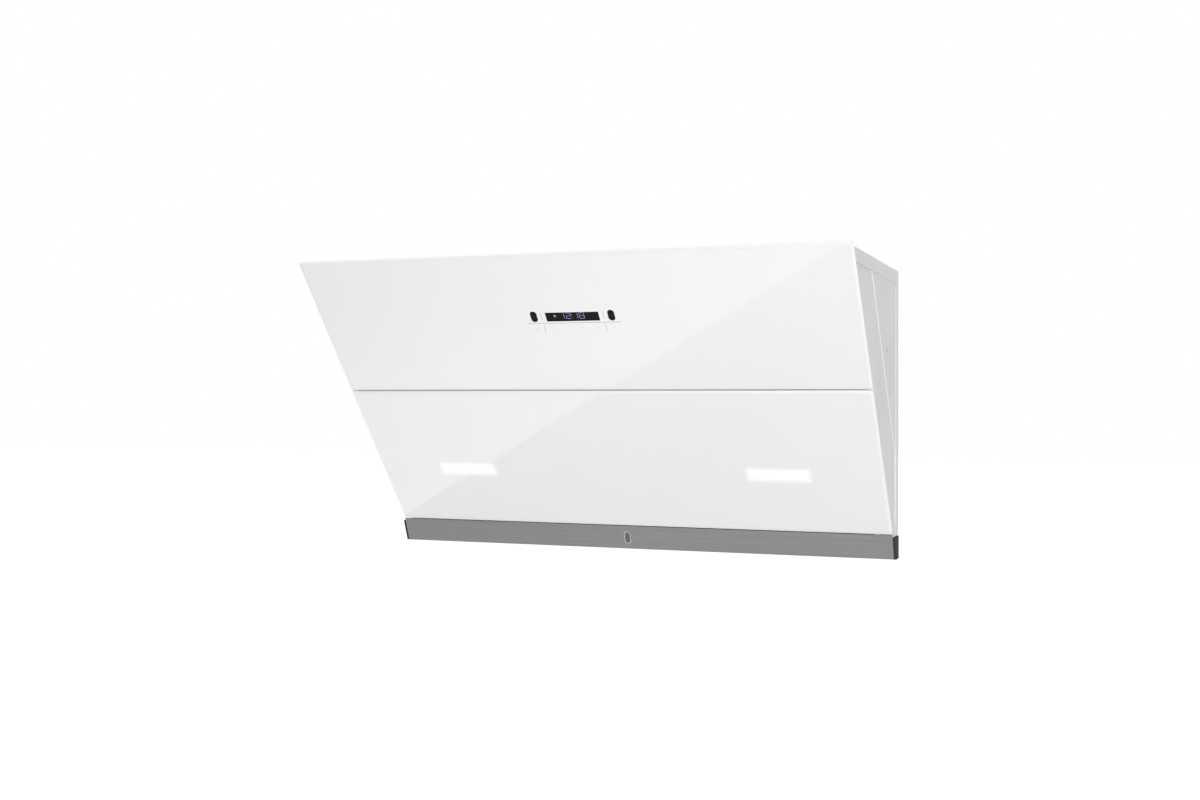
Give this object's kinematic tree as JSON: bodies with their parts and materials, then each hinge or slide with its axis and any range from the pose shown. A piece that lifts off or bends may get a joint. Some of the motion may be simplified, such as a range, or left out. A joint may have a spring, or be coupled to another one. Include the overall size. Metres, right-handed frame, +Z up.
{
  "type": "angled range hood",
  "caption": "Wall-mounted slanted range hood with white glass front panels, a motor-opened lower glass flap, lamps, a baffle filter and a pull-out grease tray.",
  "frame": {"origin": "middle of the four wall screw holes, in the plane of the wall", "axes": "+X to the right seen from the front, +Y into the wall, +Z up; the glass faces -Y"},
  "size_m": [0.9, 0.4523, 0.5034],
  "materials": {
    "white_glass": "back-painted white, polished bevelled edges",
    "dark_window": "smoked, clear gloss",
    "casing_white": "satin powder coat",
    "zinc_sheet": "zinc-plated sheet",
    "flap_sheet": "satin painted sheet",
    "tray_steel": "brushed along its length",
    "cap_plastic": "fine grain",
    "lamp_lens": "frosted white",
    "lamp_case": "white, moulded",
    "circuit_board": "solder mask",
    "inner_plastic": "moulded, fine grain",
    "light_plastic": "moulded, fine grain",
    "motor_metal": "cast, satin",
    "filter_steel": "bright sheet",
    "shaft_steel": "ground",
    "bumper_rubber": "soft",
    "cable_rubber": "sheathed",
    "screw_steel": "bright zinc",
    "rim_metal": "polished"
  },
  "bodies": {
    "housing": {"back_panel": "casing_white", "top_panel": "casing_white", "left_side_panel": "casing_white", "right_side_panel": "casing_white", "bottom_panel": "casing_white", "upper_front_plate": "casing_white", "intake_panel": "casing_white", "left_wall_plate": "zinc_sheet", "right_wall_plate": "zinc_sheet", "upper_glass": "white_glass", "display_window": "dark_window", "left_sensor_window": "dark_window", "right_sensor_window": "dark_window", "control_housing": "inner_plastic", "control_board": "circuit_board", "volute_housing": "zinc_sheet", "volute_cover": "zinc_sheet", "fan_motor": "motor_metal", "outlet_transition": "zinc_sheet", "duct_collar": "inner_plastic", "damper_axle": "shaft_steel", "power_box": "light_plastic", "power_box_lid": "light_plastic", "power_board": "circuit_board", "run_capacitor": "light_plastic", "cord_gland": "inner_plastic", "filter_frame": "filter_steel", "filter_baffles": "filter_steel", "left_hinge_bracket": "zinc_sheet", "right_hinge_bracket": "zinc_sheet", "left_hinge_pin": "shaft_steel", "flap_motor": "motor_metal", "flap_bumpers": "bumper_rubber", "left_tray_rail": "zinc_sheet", "right_tray_rail": "zinc_sheet", "casing_screws": "screw_steel", "collar_screws": "screw_steel", "wiring_harness": "cable_rubber"},
    "flap": {"lower_glass": "white_glass", "flap_frame": "flap_sheet", "flap_inner_cover": "flap_sheet", "left_lamp_lens": "lamp_lens", "right_lamp_lens": "lamp_lens", "left_lamp_housing": "lamp_case", "right_lamp_housing": "lamp_case", "lamp_boards": "circuit_board", "left_hinge_arm": "zinc_sheet", "right_hinge_arm": "zinc_sheet", "left_hinge_bush": "light_plastic", "drive_shaft": "shaft_steel"},
    "impeller": {"impeller": "inner_plastic", "fan_shaft": "shaft_steel"},
    "front_damper": {"front_damper_flap": "inner_plastic"},
    "rear_damper": {"rear_damper_flap": "inner_plastic"},
    "tray": {"grease_tray": "tray_steel", "left_end_cap": "cap_plastic", "right_end_cap": "cap_plastic", "sight_window": "dark_window", "sight_bezel": "rim_metal"},
    "latch": {"filter_latch": "inner_plastic"}
  },
  "joints": [
    {"name": "flap_hinge", "type": "hinge", "parent": "housing", "child": "flap", "pos_m": [0, -0.30742, -0.00937], "axis": [-1, 0, 0], "range_deg": [0, 35]},
    {"name": "fan_spin", "type": "hinge", "parent": "housing", "child": "impeller", "pos_m": [-0.085, -0.07, -0.035], "axis": [0, 1, 0], "continuous": true},
    {"name": "front_damper_hinge", "type": "hinge", "parent": "housing", "child": "front_damper", "pos_m": [0, -0.086, 0.11], "axis": [-1, 0, 0], "range_deg": [0, 75]},
    {"name": "rear_damper_hinge", "type": "hinge", "parent": "housing", "child": "rear_damper", "pos_m": [0, -0.086, 0.11], "axis": [1, 0, 0], "range_deg": [0, 75]},
    {"name": "tray_slide", "type": "slide", "parent": "housing", "child": "tray", "axis": [0, -1, 0], "range_m": [0, 0.09]},
    {"name": "latch_slide", "type": "slide", "parent": "housing", "child": "latch", "axis": [0, 0.6277, -0.7785], "range_m": [0, 0.006], "stiffness_N_per_m": 200, "springref_m": -0.005}
  ]
}
